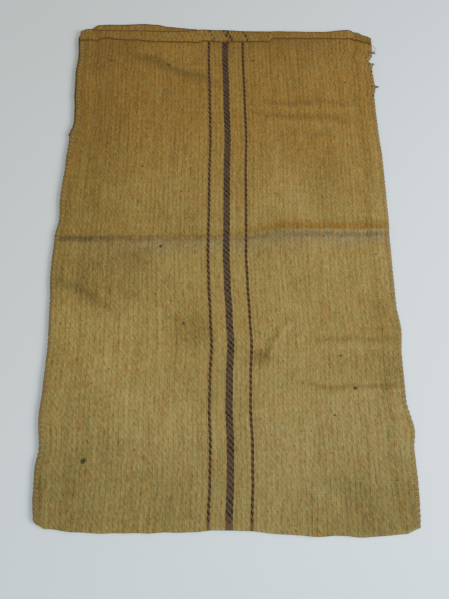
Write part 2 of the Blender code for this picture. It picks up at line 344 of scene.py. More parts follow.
def ply_point(u, s, face, out=0.0):
    """A point of a ply at its middle thickness, or out metres outside it. s runs up from the bottom."""
    x, inwards = side_turn(u)
    y, outwards = mouth_turn(s, x)
    x += HEM_SKEW * min(max(hem_depth(s) / 0.7, 0.0), 1.0) * (1 - smooth(0.08, 0.25, abs(x)))
    height = ply_height(x, y, face) + face * (outwards - inwards + out)
    new_x, new_y = warped(x, y, face)
    return Vector((new_x, new_y, height))


def fold_point(u, v):
    """A point of the bottom fold. v runs down from FOLD_TOP and round on to the back."""
    if v >= FOLD_TURN:
        return ply_point(u, v, 1)
    if v <= BACK_START:
        return ply_point(u, FOLD_TURN + (BACK_START - v), -1)
    angle = (FOLD_TURN - v) / FOLD_RADIUS
    front, back = ply_height(u, FOLD_TURN, 1), ply_height(u, FOLD_TURN, -1)
    middle, radius = (front + back) / 2, (front - back) / 2
    new_x, new_y = warped(u, FOLD_TURN - FOLD_RADIUS * math.sin(angle), 1)
    return Vector((new_x, new_y, middle + radius * math.cos(angle)))


# ---------------------------------------------------------------- mesh helpers


def place_object(name, data):
    item = bpy.data.objects.new(name, data)
    bpy.context.scene.collection.objects.link(item)
    return item


def add_piece(name, points, faces, coordinates, material):
    """A mesh object whose cloth coordinates are kept in a UV map, in metres."""
    mesh = bpy.data.meshes.new(name)
    mesh.from_pydata([tuple(point) for point in points], [], faces)
    layer = mesh.uv_layers.new(name="cloth")
    index = np.zeros(len(mesh.loops), np.int32)
    mesh.loops.foreach_get("vertex_index", index)
    layer.data.foreach_set("uv", np.array(coordinates, np.float32)[index].ravel())
    mesh.materials.append(material)
    mesh.shade_smooth()
    return place_object(name, mesh)


def add_cloth(name, columns, rows, place, coordinate, material, keep=None, thickness=CLOTH):
    """A sheet of cloth on a grid, with its thickness. keep(u, s) drops cells of the grid."""
    number, points, coordinates, faces = {}, [], [], []

    def corner(column, row):
        key = (column, row)
        if key not in number:
            number[key] = len(points)
            points.append(place(columns[column], rows[row]))
            coordinates.append(coordinate(columns[column], rows[row]))
        return number[key]

    for row in range(len(rows) - 1):
        for column in range(len(columns) - 1):
            middle = (columns[column] + columns[column + 1]) / 2
            if keep and not keep(middle, (rows[row] + rows[row + 1]) / 2):
                continue
            cell = ((column, row), (column + 1, row), (column + 1, row + 1), (column, row + 1))
            faces.append([corner(*place_in_grid) for place_in_grid in cell])
    piece = add_piece(name, points, faces, coordinates, material)
    solidify = piece.modifiers.new("thickness", "SOLIDIFY")
    solidify.thickness = thickness
    solidify.offset = 0
    apply_modifiers(piece)
    return piece


def apply_modifiers(piece):
    graph = bpy.context.evaluated_depsgraph_get()
    mesh = bpy.data.meshes.new_from_object(piece.evaluated_get(graph))
    piece.modifiers.clear()
    piece.data = mesh
    mesh.shade_smooth()
    mesh.set_sharp_from_angle(angle=math.radians(50))


class Tubes:
    """Gathers many short tubes into one mesh. Their coordinates are (round, along) in metres."""

    def __init__(self, sides=6):
        self.sides = sides
        self.points, self.faces, self.coordinates = [], [], []

    def add(self, path, radius, axis, flat=1.0, taper=1.0, start=0.0):
        """path's points, with the tube's cross-section measured from axis. flat squashes it."""
        first, along = len(self.points), start
        for index, point in enumerate(path):
            before, after = path[max(index - 1, 0)], path[min(index + 1, len(path) - 1)]
            tangent = (after - before).normalized()
            aside = (axis - axis.dot(tangent) * tangent).normalized()
            upwards = tangent.cross(aside)
            along += (point - before).length
            size = radius * (1 + (taper - 1) * index / (len(path) - 1))
            for side in range(self.sides):
                angle = 2 * math.pi * side / self.sides
                self.points.append(
                    point + aside * size * math.cos(angle) + upwards * size * flat * math.sin(angle)
                )
                self.coordinates.append((radius * angle, along))
        for ring in range(len(path) - 1):
            for side in range(self.sides):
                after = (side + 1) % self.sides
                low, high = first + ring * self.sides, first + (ring + 1) * self.sides
                self.faces.append((low + side, low + after, high + after, high + side))
        last = first + (len(path) - 1) * self.sides
        self.faces.append(tuple(first + side for side in reversed(range(self.sides))))
        self.faces.append(tuple(last + side for side in range(self.sides)))

    def piece(self, name, material):
        return add_piece(name, self.points, self.faces, self.coordinates, material)

    def lower_piece(self, name, material, slot):
        """One piece of them all, for the lower half's cloth."""
        piece = self.piece(name, material)
        bend_at_fold(piece)
        return piece

    def upper_piece(self, name, material, slot, face_label, side_label):
        """One piece of them all, for one ply of the upper half."""
        piece = self.piece(name, material)
        bend_at_slant(piece, face_label, side_label)
        return piece


def bend_at_fold(piece):
    """Bakes the piece's transform into its mesh; the piece is not bent at the fold."""
    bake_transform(piece)


def bend_at_slant(piece, face_label, side_label):
    """Works out one slanting crease's pivot and outward direction, and bakes the piece's transform into its
    mesh; the piece is not bent.
    """
    joint = JOINTS[f"{face_label}_{side_label}_crease"]
    pivot, axis = Vector(joint["pos_m"]), Vector(joint["axis"])
    outwards = Vector((axis.y, -axis.x, 0)).normalized() * SLANT_BAND
    if outwards.x * pivot.x < 0:
        outwards = -outwards
    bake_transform(piece)


# ---------------------------------------------------------------- materials


class Value:
    """A number that a shader works out, for use in ordinary sums."""

    def __init__(self, graph, socket):
        self.graph = graph
        self.socket = socket

    def __add__(self, other):
        return self.graph.math("ADD", self, other)

    def __sub__(self, other):
        return self.graph.math("SUBTRACT", self, other)

    def __mul__(self, other):
        return self.graph.math("MULTIPLY", self, other)

    def __truediv__(self, other):
        return self.graph.math("DIVIDE", self, other)

    def __abs__(self):
        return self.graph.math("ABSOLUTE", self)

    __radd__ = __add__
    __rmul__ = __mul__


class Graph:
    """Short names for the shader nodes used here. Inputs are values, sockets, numbers or colours."""

    def __init__(self, name):
        self.material = bpy.data.materials.new(name)
        self.material.use_nodes = True
        self.nodes = self.material.node_tree.nodes
        self.links = self.material.node_tree.links
        self.shader = self.nodes["Principled BSDF"]

    def feed(self, socket, value):
        if isinstance(value, Value):
            self.links.new(value.socket, socket)
        elif isinstance(value, bpy.types.NodeSocket):
            self.links.new(value, socket)
        elif isinstance(value, (tuple, list)) and len(value) == 3 and len(socket.default_value) == 4:
            socket.default_value = (*value, 1)
        else:
            socket.default_value = value

    def math(self, operation, *values):
        node = self.nodes.new("ShaderNodeMath")
        node.operation = operation
        for socket, value in zip(node.inputs, values):
            self.feed(socket, value)
        return Value(self, node.outputs[0])

    def sine(self, value):
        return self.math("SINE", value)

    def whole(self, value):
        return self.math("FLOOR", value)

    def part(self, value):
        return self.math("FRACT", value)

    def scaled(self, colour, share):
        """colour made lighter or darker by share."""
        return self.mix(1.0, colour, self.vector(share, share, share), "MULTIPLY")

    def span(self, value, low, high, first=0.0, last=1.0):
        """value's place from low to high, smoothed and scaled to run from first to last."""
        node = self.nodes.new("ShaderNodeMapRange")
        node.interpolation_type = "SMOOTHSTEP"
        for socket, number in zip(node.inputs, (value, low, high, first, last)):
            self.feed(socket, number)
        return Value(self, node.outputs[0])

    def vector(self, x, y, z=0.0):
        node = self.nodes.new("ShaderNodeCombineXYZ")
        for socket, value in zip(node.inputs, (x, y, z)):
            self.feed(socket, value)
        return node.outputs[0]

    def noise(self, x, y, across, along, seed=0.0, detail=2.0):
        """Soft noise with across and along ripples to the metre. seed picks another pattern."""
        node = self.nodes.new("ShaderNodeTexNoise")
        self.feed(node.inputs["Vector"], self.vector(x * across, y * along, seed))
        node.inputs["Scale"].default_value = 1.0
        node.inputs["Detail"].default_value = detail
        return Value(self, node.outputs[0])

    def chance(self, value, seed):
        """A fixed random number for each whole value, such as one for each yarn."""
        node = self.nodes.new("ShaderNodeTexWhiteNoise")
        node.noise_dimensions = "2D"
        self.feed(node.inputs["Vector"], self.vector(value, seed))
        return Value(self, node.outputs["Value"])

    def mix(self, share, first, second, blend="MIX"):
        node = self.nodes.new("ShaderNodeMix")
        node.data_type = "RGBA"
        node.blend_type = blend
        self.feed(node.inputs[0], share)
        self.feed(node.inputs[6], first)
        self.feed(node.inputs[7], second)
        return node.outputs[2]

    def coordinates(self, node, output):
        """The first two numbers of a coordinate node's output."""
        split = self.nodes.new("ShaderNodeSeparateXYZ")
        self.links.new(node.outputs[output], split.inputs[0])
        return Value(self, split.outputs[0]), Value(self, split.outputs[1])

    def cloth_coordinates(self):
        node = self.nodes.new("ShaderNodeUVMap")
        node.uv_map = "cloth"
        return self.coordinates(node, "UV")

    def finish(self, colour, roughness, height, depth, sheen):
        bump = self.nodes.new("ShaderNodeBump")
        bump.inputs["Strength"].default_value = 1.0
        bump.inputs["Distance"].default_value = depth
        self.feed(bump.inputs["Height"], height)
        self.links.new(bump.outputs[0], self.shader.inputs["Normal"])
        self.feed(self.shader.inputs["Base Color"], colour)
        self.feed(self.shader.inputs["Roughness"], roughness)
        self.shader.inputs["Specular IOR Level"].default_value = 0.18
        self.shader.inputs["Sheen Weight"].default_value = sheen
        self.shader.inputs["Sheen Roughness"].default_value = 0.6
        self.shader.inputs["Sheen Tint"].default_value = (1.0, 0.82, 0.5, 1)
        return self.material


def twill_height(g, u, v):
    """The weave: its height from 0 to 1, random numbers for each float and pick, and the reed marks."""
    wander = g.noise(u, v, 55.0, 13.0, 4.0, 1.0)
    sway = g.noise(u, v, 16.0, 60.0, 7.0, 1.0)
    across = (wander * 0.004 + u) / PAIR
    pick = (sway * 0.005 + v) / WEFT_PITCH
    column = g.whole(across)
    place = (pick + column) / REPEAT
    rising = g.math("MINIMUM", g.part(place) / FLOAT_SHARE, 1.0)
    on_top = g.sine(rising * math.pi)
    inside = g.part(across) * math.pi
    pair = g.sine(inside)
    yarn = abs(g.sine(inside * 2.0))
    warp = pair * 0.62 + yarn * 0.38
    weft = g.sine(g.part(pick) * math.pi)
    raised = warp * (on_top * 0.72 + 0.28)
    height = g.math("MAXIMUM", raised, weft * 0.42)
    from_middle = g.part(across / REPEAT) - 0.5
    reed = g.span(abs(from_middle), 0.3, 0.48)
    return height, g.chance(column, g.whole(place)), g.chance(g.whole(pick), column), reed


def stripe_share(g, u, label, soft):
    """1 on a stripe, falling to 0 over soft metres each side of its edges."""
    low, high = STRIPES[label]
    inside = g.span(u, low.x - soft, low.x + soft)
    return inside * g.span(u, high.x - soft, high.x + soft, 1.0, 0.0)


def near_line(g, distance, inner, outer):
    """1 within inner of a line, falling to 0 at outer."""
    return g.span(abs(distance), inner, outer, 1.0, 0.0)


def crease_shade_and_soil(g, colour, u, v):
    """The crease: a painted shadow line along the ridge on the left, and a brown band of painted shade
    above it on the right, over a greyish band below that is partly soil and partly painted light.
    """
    right = g.span(u, 0.0, 0.13)
    line = g.span(u, -0.3, -0.08, CREASE - 0.0115, CREASE - 0.0085) + right * 0.018
    waver = g.noise(u, 0.0, 40.0, 1.0, 1.0, 3.0)
    away = v - line - waver * 0.006 + 0.003
    patchy = g.span(g.noise(u, v, 60.0, 110.0, 6.0, 3.0), 0.3, 0.6, 0.6, 1.0)
    # Partly soil, partly painted light: the greyish band below the ridge, on the slope that faces the light
    below = g.span(away, -0.045, -0.012) * g.span(away, -0.003, 0.002, 1.0, 0.0)
    share = right * 0.12 + g.span(u, -0.26, -0.12, 0.08, 0.28)
    grey = below * patchy * share
    colour = g.mix(grey, colour, (0.180, 0.165, 0.115))
    # Painted shade: the brown band above the ridge, on the slope that faces away from the light
    above = g.span(away, -0.001, 0.005) * g.span(away, 0.008, 0.028, 1.0, 0.0)
    brown = above * (right * 0.6 + 0.2)
    colour = g.mix(brown, colour, (0.215, 0.108, 0.012))
    # Painted shadow: the dark line along the ridge, strongest on the left
    dark = near_line(g, away + right * 0.009, 0.0015, 0.0095) * patchy * g.span(u, -0.28, -0.1, 0.7, 0.44)
    return g.mix(dark, colour, (0.075, 0.052, 0.026))


def soil_and_painted_shade(g, u, v):
    """How light the cloth is, from its soiled, bleached, painted-shaded and painted-lit areas, and from the
    painted shade and dirt along its folds.
    """
    ragged = g.noise(u, v, 22.0, 22.0, 30.0, 3.0) * 0.9 - 0.45
    wobble = g.noise(u, v, 12.0, 12.0, 17.0, 3.0) * 0.044 - 0.022
    lightness = 1.0
    for (x, y), (width, length), change in AREAS:
        across = (u - x) / width
        along = (v - y) / length
        distance = g.math("SQRT", across * across + along * along) + ragged
        lightness = lightness + g.span(distance, 0.15, 1.05, change, 0.0)
    # Painted shade, with some dirt, in a band along each fold
    for (x0, y0), (x1, y1), width, change in FOLD_SHADE_AND_DIRT:
        reach = math.hypot(x1 - x0, y1 - y0)
        dx, dy = (x1 - x0) / reach, (y1 - y0) / reach
        along = (u - x0) * dx + (v - y0) * dy
        aside = (u - x0) * dy - (v - y0) * dx + wobble
        ends = g.span(along, 0.0, 0.2 * reach) * g.span(along, 0.8 * reach, reach, 1.0, 0.0)
        share = ends * near_line(g, aside, 0.1 * width, width)
        lightness = lightness - share * change
    return lightness


def jute_cloth():
    g = Graph("jute_cloth")
    u, v = g.cloth_coordinates()
    height, yarn, shot, reed = twill_height(g, u, v)

    # up is v on the front, and the same height up the sack on the back
    bottom = FOLD_TURN - FOLD_LENGTH / 2
    up = abs(v - bottom) + bottom

    # Large drifts of tone: darker and more orange towards the mouth, partly the cloth's own tone and partly
    # painted shade, greener towards the bottom
    drift = g.noise(u, v, 7.0, 5.0, 3.0, 3.0)
    colour = g.mix(g.span(drift, 0.3, 0.7), (0.270, 0.180, 0.042), (0.340, 0.236, 0.060))
    colour = g.mix(g.span(up, -0.05, 0.36, 0.0, 0.85), colour, (0.262, 0.140, 0.021))
    colour = g.mix(g.span(up, -0.45, -0.1, 0.7, 0.0), colour, (0.222, 0.178, 0.054))

    # Blotches of rust and of olive, a few floats wide
    blotch = g.noise(u, v, 55.0, 38.0, 12.0, 4.0)
    colour = g.mix(g.span(blotch, 0.54, 0.70, 0.0, 0.40), colour, (0.255, 0.118, 0.025))
    colour = g.mix(g.span(blotch, 0.30, 0.46, 0.40, 0.0), colour, (0.205, 0.182, 0.058))
    colour = crease_shade_and_soil(g, colour, u, up)

    # Every float of yarn has its own tone, a few are rusty or olive, and slubs run along them
    colour = g.mix(g.span(yarn, 0.82, 0.95, 0.0, 0.40), colour, (0.200, 0.088, 0.030))
    colour = g.mix(g.span(shot, 0.80, 0.95, 0.0, 0.40), colour, (0.190, 0.170, 0.060))
    grain = g.noise(u, v, 210.0, 135.0, 0.0, 3.0)
    slub = g.noise(u, v, 420.0, 34.0, 0.0, 2.0)
    streak = g.noise(u, v, 130.0, 7.0, 21.0, 2.0)
    # reed * 0.15 darkens the reed's thin places: painted shade in those hollows
    tone = yarn * 0.20 + shot * 0.10 - reed * 0.15 + slub * 0.28 + grain * 0.64 + streak * 0.45 - 0.085
    # Painted shade and painted light of the areas and folds, together with their soil
    colour = g.scaled(colour, tone * soil_and_painted_shade(g, u, v))
    # Painted shade and highlight: the weave's dips are darker and the tops of its floats lighter
    colour = g.scaled(colour, g.span(height, 0.05, 0.85, 0.83, 1.06))

    # Specks of bark and pale loose fibre caught in the yarn
    bark = g.noise(u, v, 210.0, 150.0, 9.0, 1.0)
    colour = g.mix(g.span(bark, 0.68, 0.76, 0.0, 0.8), colour, (0.060, 0.032, 0.014))
    fleck = g.noise(u, v, 260.0, 90.0, 5.0, 1.0)
    colour = g.mix(g.span(fleck, 0.70, 0.78, 0.0, 0.30), colour, (0.50, 0.40, 0.18))

    # The sewn edges are darker, partly from handling dirt and partly painted shade by the seams; the
    # mouth's fold has a painted shadow line, and the hem's cut end painted shade
    edge_patchiness = g.noise(u, v, 90.0, 45.0, 14.0, 2.0)
    rim_dirt_and_shade = g.span(abs(u), SIDE_TURN - 0.012, SIDE_TURN) * g.span(edge_patchiness, 0.3, 0.6, 0.1, 0.5)
    colour = g.mix(rim_dirt_and_shade, colour, (0.118, 0.080, 0.027))
    mouth = MOUTH_TURN + TURN_LENGTH / 2
    # Painted shadow along the fold of the mouth
    mouth_fold_shadow = near_line(g, up - mouth, 0.0022, 0.0055) * g.span(edge_patchiness, 0.3, 0.55, 0.35, 0.9)
    colour = g.mix(mouth_fold_shadow, colour, (0.075, 0.032, 0.014))
    # Painted shade along the hem's cut end
    cut_end = MOUTH_TURN + TURN_LENGTH + HEM_WIDTH
    colour = g.mix(g.span(up, cut_end - 0.004, cut_end - 0.001, 0.0, 0.7), colour, (0.085, 0.045, 0.014))

    # Dye has run into the cloth beside the stripes; the weft between their own yarns is painted much
    # darker, partly dye and partly painted shade between the yarns. On the hem, where they pass underneath,
    # dye shows through only in blots.
    blot = g.span(g.noise(u, v, 160.0, 110.0, 33.0), 0.46, 0.56, 0.05, 0.85)
    on_hem = g.span(up, mouth, MOUTH_TURN + TURN_LENGTH)
    below_hem = on_hem * -1.0 + 1.0
    for label in STRIPES:
        colour = g.mix(stripe_share(g, u, label, 0.009) * below_hem * 0.30, colour, (0.120, 0.070, 0.036))
        share = stripe_share(g, u, label, 0.0008)
        # Partly dye, partly painted shade in the gaps between the stripe's yarns
        colour = g.mix(share * below_hem * 0.82, colour, (0.046, 0.026, 0.015))
        colour = g.mix(share * blot * on_hem, colour, (0.022, 0.026, 0.016))

    fuzz = g.noise(u, v, 1400.0, 900.0)
    relief = height + yarn * 0.25 + fuzz * 0.35 + slub * 0.4 + grain * 0.9
    return g.finish(colour, height * -0.12 + 0.96, relief, 0.00045, 0.08)


def twisted_yarn(name, dark, pale, depth, sheen=0.2, twist=0.004):
    """A spun yarn or twine: twisted strands, tone that changes along it, and a fibrous surface."""
    g = Graph(name)
    u, v = g.cloth_coordinates()
    strand = v / twist + u / (TWINE_RADIUS * math.pi)
    lay = g.sine(strand * 2 * math.pi) * 0.5 + 0.5
    patch = g.noise(u, v, 60.0, 55.0, 2.0, 3.0)
    fibre = g.noise(u, v, 2400.0, 260.0, 6.0, 2.0)
    # Painted shade and highlight: the strands' crests and raised fibres are paler, the grooves between
    # strands darker, matching the bump
    share = lay * 0.25 + g.span(patch, 0.34, 0.66, 0.0, 0.75)
    colour = g.mix(share, dark, pale)
    colour = g.scaled(colour, fibre * 0.7 + 0.65)
    return g.finish(colour, fibre * 0.12 + 0.82, lay + fibre, depth, sheen)


def floor_material():
    g = Graph("pale_floor")
    x, y = g.coordinates(g.nodes.new("ShaderNodeTexCoord"), "Object")
    grain = g.noise(x, y, 3.0, 3.0)
    # Painted light: darker and greyer to the upper left, lighter and bluer to the right and the near side
    # where the key light stands; greener towards the near edge
    colour = g.mix(g.span(x * 0.7 - y * 0.5, -0.55, 0.35), (0.69, 0.73, 0.69), (0.76, 0.90, 0.99))
    colour = g.mix(g.span(y, -0.85, -0.35, 0.9, 0.0), colour, (0.60, 0.85, 0.90))
    colour = g.mix(grain * 0.3, colour, (0.8, 0.87, 0.9))
    return g.finish(colour, 0.85, grain, 0.0002, 0.0)


# ---------------------------------------------------------------- pieces


def grid_columns():
    """Columns across a ply: turned-in edge, turn, left part, right part, turn, turned-in edge."""
    far = SIDE_TURN + TURN_LENGTH + ALLOWANCE
    near = SIDE_TURN + TURN_LENGTH
    turn = TURN_LENGTH / 4
    return joined(
        steps(-far, -near, ALLOWANCE_GRID),
        steps(-near, -SIDE_TURN, turn),
        steps(-SIDE_TURN, SPLIT, GRID),
        steps(SPLIT, SIDE_TURN, GRID),
        steps(SIDE_TURN, near, turn),
        steps(near, far, ALLOWANCE_GRID),
    )


def lower_rows(face):
    size = GRID if face > 0 else 2 * GRID
    return joined(
        steps(FOLD_TOP, CREASE - FINE_BAND, size),
        steps(CREASE - FINE_BAND, MOUTH_HINGE, GRID / 2),
    )


def upper_rows(face):
    size = GRID if face > 0 else 2 * GRID
    return joined(
        steps(MOUTH_HINGE, MOUTH_TURN, size),
        steps(MOUTH_TURN, MOUTH_TURN + TURN_LENGTH, TURN_LENGTH / 4),
        steps(MOUTH_TURN + TURN_LENGTH, MOUTH_TURN + TURN_LENGTH + HEM_WIDTH, GRID),
    )


def along_cloth(s, face):
    """The cloth coordinate v of a place s on one ply."""
    return s if face > 0 else BACK_START - (s - FOLD_TURN)


def add_ply(name, columns, rows, face, cloth, keep=None):
    """A sheet of one ply. Its rows are places up the sack."""
    return add_cloth(
        name,
        columns,
        rows,
        lambda u, s: ply_point(u, s, face),
        lambda u, s: (u, along_cloth(s, face)),
        cloth,
        keep,
    )


def make_lower_cloth(cloth):
    columns = grid_columns()
    width = columns[-1] - columns[0]
    for label, face in FACES:
        rows = lower_rows(face)
        piece = add_ply(f"lower_{label}_cloth", columns, rows, face, cloth)
        bend_at_fold(piece)
        nodes = [f"lower_{label}_panel"]
        nodes += [f"lower_{label}_{side}_turned_in_edge" for side, _ in CORNERS]
        if face > 0:
            nodes.append("crease_band_front")
        else:
            nodes += [f"crease_band_{side}_turned_in_edges" for side, _ in CORNERS]
        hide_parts(*nodes)
        rows[-1] - rows[0]


def make_bottom_fold(cloth):
    flat = [u for u in grid_columns() if abs(u) <= SIDE_TURN + 1e-9]
    back_end = BACK_START - (FOLD_TOP - FOLD_TURN)
    rows = joined(
        steps(back_end, BACK_START, GRID),
        steps(BACK_START, FOLD_TURN, FOLD_LENGTH / 10),
        steps(FOLD_TURN, FOLD_TOP, GRID),
    )
    piece = add_cloth("bottom_fold_cloth", flat, rows, fold_point, lambda u, v: (u, v), cloth)
    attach(piece, "lower_half")
    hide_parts("bottom_fold")
    flat[-1] - flat[0]
    rows[-1] - rows[0]


def kept_cell(u, s):
    """The cloth's turned-in edge stops at the mouth, so there is none inside the hem."""
    return s < MOUTH_TURN or abs(u) < SIDE_TURN


def make_upper_cloth(cloth):
    for label, face in FACES:
        rows = upper_rows(face)
        for side_label, side in CORNERS:
            columns = [u for u in grid_columns() if side * (u - SPLIT) >= -1e-9]
            name = f"upper_{label}_{side_label}"
            piece = add_ply(f"{name}_cloth", columns, rows, face, cloth, kept_cell)
            bend_at_slant(piece, label, side_label)
            middle = f"upper_{label}_middle"
            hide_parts(f"{name}_panel", f"{name}_turned_in_edge", f"{name}_hem")
            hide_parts(f"{middle}_panel", f"{middle}_hem")
            width, length = columns[-1] - columns[0], rows[-1] - rows[0]
            missing = (TURN_LENGTH + ALLOWANCE) * (TURN_LENGTH + HEM_WIDTH)
            width * length - missing


def rise_angle(height, radius):
    """The angle at which an arc of this radius has risen by height, or just short of a right angle."""
    return math.asin(min(height / radius, 0.95))


def lap_point(s, share, face):
    """A point of the left seam's lap, on an arc round the line the two plies turn about.

    Both laps are placed from the front's edge, so their arcs have one centre and slide past each other.
    """
    pivot = Vector(JOINTS["front_left_crease"]["pos_m"])
    edge = ply_point(-SIDE_TURN - TURN_LENGTH / 2, s, 1)
    radius = edge.x - CLOTH / 2 - LAP_OUT[face] - pivot.x
    own_height = abs(ply_point(-SIDE_TURN - TURN_LENGTH / 2, s, face).z - pivot.z) + LAP_ROOT
    top = rise_angle(own_height, radius)
    past = min(LAP_TURN + rise_angle(LAP_SPARE, radius), rise_angle(LAP_DEPTH, radius))
    angle = top - share * (top + past)
    return Vector((pivot.x + radius * math.cos(angle), edge.y, pivot.z + face * radius * math.sin(angle)))


def make_seam_laps(cloth):
    """The left edge is worn in from the line the plies turn about, so each ply laps over the other there.
    """
    rows = steps(LAP_START, LAP_END, GRID)
    shares = steps(0.0, 1.0, 1 / 8)
    for label, face in FACES:
        piece = add_cloth(
            f"upper_{label}_left_seam_lap",
            shares,
            rows,
            lambda share, s, face=face: lap_point(s, share, face),
            lambda share, s, face=face: (-SIDE_TURN - share * LAP_WIDTH, along_cloth(s, face)),
            cloth,
            thickness=LAP_THICKNESS,
        )
        bend_at_slant(piece, label, "left")


def stripe_yarns(low_u, high_u, start, end, face, over_hem):
    """The dyed yarns of one stripe, in pairs, each over two picks and under the third.

    With over_hem the yarns go on round the mouth, and show on the hem where they pass underneath.
    """
    tubes = Tubes(sides=6)
    pairs = max(1, round((high_u - low_u) / PAIR))
    pitch = (high_u - low_u) / pairs
    radius = pitch * 0.27
    for index in range(2 * pairs):
        pair = index // 2
        u = low_u + (index + 0.5) * pitch / 2
        waver = 0.4 * noise.noise(Vector((index * 3.1, start * 9.0, low_u * 40)))
        path = []
        for s in steps(start, end, WEFT_PITCH / 2):
            phase = ((along_cloth(s, face) / WEFT_PITCH + pair + waver) / REPEAT) % 1.0
            lift = math.sin(math.pi * min(phase / FLOAT_SHARE, 1.0))
            aside = 0.0005 * noise.noise(Vector((s * 70, index * 2.7, face * 3.0)))
            path.append(ply_point(u + aside, s, face, CLOTH / 2 - 0.0010 + 0.0013 * lift))
        tubes.add(path, radius, Vector((1, 0, 0)), flat=0.62, start=start)
        if over_hem:
            tubes.add(hem_yarn_path(u, pair, face), radius * 0.8, Vector((1, 0, 0)), flat=0.62)
    return tubes


def hem_yarn_path(u, pair, face):
    """A dyed yarn on the inside of the cloth, from the mouth's turn down the hem to its cut end."""
    path = []
    for s in steps(MOUTH_TURN, MOUTH_TURN + TURN_LENGTH + HEM_WIDTH - 0.001, WEFT_PITCH / 2):
        angle = min(max((s - MOUTH_TURN) / TURN, 0.0), math.pi)
        phase = ((s / WEFT_PITCH + pair) / REPEAT) % 1.0
        dive = math.sin(math.pi * max(phase - FLOAT_SHARE, 0.0) / (1 - FLOAT_SHARE))
        out = CLOTH / 2 - 0.0006 + 0.0009 * max(dive, math.sin(angle))
        point = ply_point(u, s, face)
        point.y += out * math.sin(angle)
        point.z = max(point.z - face * out * math.cos(angle), TWINE_RADIUS / 2)
        path.append(point)
    return path


def make_stripes(yarns):
    for label, (low, high) in STRIPES.items():
        slot = "dark_stripe_yarn" if label == "centre" else "thin_line_yarn"
        side_label = "left" if label == "left_thin" else "right"
        for face_label, face in FACES:
            yarn = yarns[slot]
            tubes = stripe_yarns(low.x, high.x, FOLD_TOP, MOUTH_HINGE, face, False)
            piece = tubes.lower_piece(f"lower_{face_label}_{label}_yarns", yarn, slot)
            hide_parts(f"lower_{face_label}_{label}_stripe")
            if face > 0:
                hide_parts(f"crease_band_{label}_stripe")
            top = MOUTH_TURN - HEM_WIDTH * follow(HEM_SHARE, low.x) + 0.004
            tubes = stripe_yarns(low.x, high.x, MOUTH_HINGE + YARN_GAP, top, face, True)
            name = f"upper_{face_label}_{label}_yarns"
            piece = tubes.upper_piece(name, yarn, slot, face_label, side_label)
            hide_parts(f"upper_{face_label}_middle_{label}_stripe")


def stitch_path(side, s, faces, rng):
    """One stitch over the edge: down into the cloth on each face, round the outside between."""
    reach = STITCH_REACH * rng.uniform(0.85, 1.0)
    lean = rng.uniform(0.002, 0.0042)
    edge = side * (PANEL_HIGH.x - CLOTH / 2)
    over = CLOTH / 2 + TWINE_RADIUS
    into_cloth = CLOTH / 2 - 0.0012
    # From the hole to the edge: how far in from it, and how far outside the middle of the ply
    offsets = (
        (reach, into_cloth), (reach * 0.85, 0.5 * TWINE_RADIUS), (reach * 0.5, over), (0.0016, over * 0.8)
    )
    path = []
    if 1 in faces:
        for index, (inwards, out) in enumerate(offsets):
            path.append(ply_point(edge - side * inwards, s + lean * index / 4, 1, out))
    outer = ply_point(edge, s + lean, faces[0])
    past_middle = 0.0 if len(faces) == 2 else 0.0012 * faces[0]
    over_lap = LAP_CLEARANCE if side < 0 and s > LAP_START - STITCH_PITCH else 0.0
    path.append(Vector((outer.x + side * (TWINE_RADIUS + over_lap), outer.y, MIDDLE_Z - past_middle)))
    if -1 in faces:
        for index, (inwards, out) in enumerate(reversed(offsets)):
            low = ply_point(edge - side * inwards, s + lean * (1 + index / 4), -1, out)
            low.z = max(low.z, TWINE_RADIUS)
            path.append(low)
    return path


def side_stitches(side, start, end, faces, rng):
    tubes = Tubes()
    for s in steps(start, end, STITCH_PITCH):
        path = stitch_path(side, s, faces, rng)
        tubes.add(path, TWINE_RADIUS * rng.uniform(0.85, 1.1), Vector((0, 1, 0)))
    return tubes


def make_side_stitches(twine):
    top = MOUTH - HEM_WIDTH - 0.004
    for side_label, side in CORNERS:
        rng = random.Random(f"stitches {side_label}")
        tubes = side_stitches(side, BOTTOM + 0.008, MOUTH_HINGE - LOWER_STITCH_GAP, (1, -1), rng)
        piece = tubes.lower_piece(f"lower_{side_label}_side_stitches", twine, "seam_twine")
        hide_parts(f"lower_{side_label}_seam_twine", f"crease_band_{side_label}_seam_twine")
        for face_label, face in FACES:
            tubes = side_stitches(side, MOUTH_HINGE + UPPER_STITCH_GAP, top, (face,), rng)
            name = f"upper_{face_label}_{side_label}_side_stitches"
            piece = tubes.upper_piece(name, twine, "seam_twine", face_label, side_label)
            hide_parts(f"upper_{face_label}_{side_label}_seam_twine")


def make_hem_stitches(thread):
    """Long machine stitches along the hem's cut end, which nearly meet and read as one brown line."""
    pitch, length, radius = 0.0105, 0.0095, 0.0009
    from_end = 0.0012
    margin = 0.004
    place = MOUTH_TURN + TURN_LENGTH + HEM_WIDTH - from_end
    # Along one stitch: the share of its length, and how many radii it stands out of the cloth
    profile = ((0.0, -0.6), (0.15, 0.2), (0.5, 0.5), (0.85, 0.2), (1.0, -0.6))
    for face_label, face in FACES:
        for side_label, side in CORNERS:
            tubes = Tubes()
            far = side * (SIDE_TURN - margin)
            for u in steps(SPLIT + side * margin, far - side * length, pitch):
                path = []
                for share, out in profile:
                    point = ply_point(u + side * length * share, place, face, CLOTH / 2 + radius * out)
                    point.z = max(point.z, radius)
                    path.append(point)
                tubes.add(path, radius, Vector((0, 1, 0)))
            name = f"upper_{face_label}_{side_label}_hem_stitches"
            piece = tubes.upper_piece(name, thread, "hem_thread", face_label, side_label)
            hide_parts(f"upper_{face_label}_{side_label}_hem_thread")
            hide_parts(f"upper_{face_label}_middle_hem_thread")


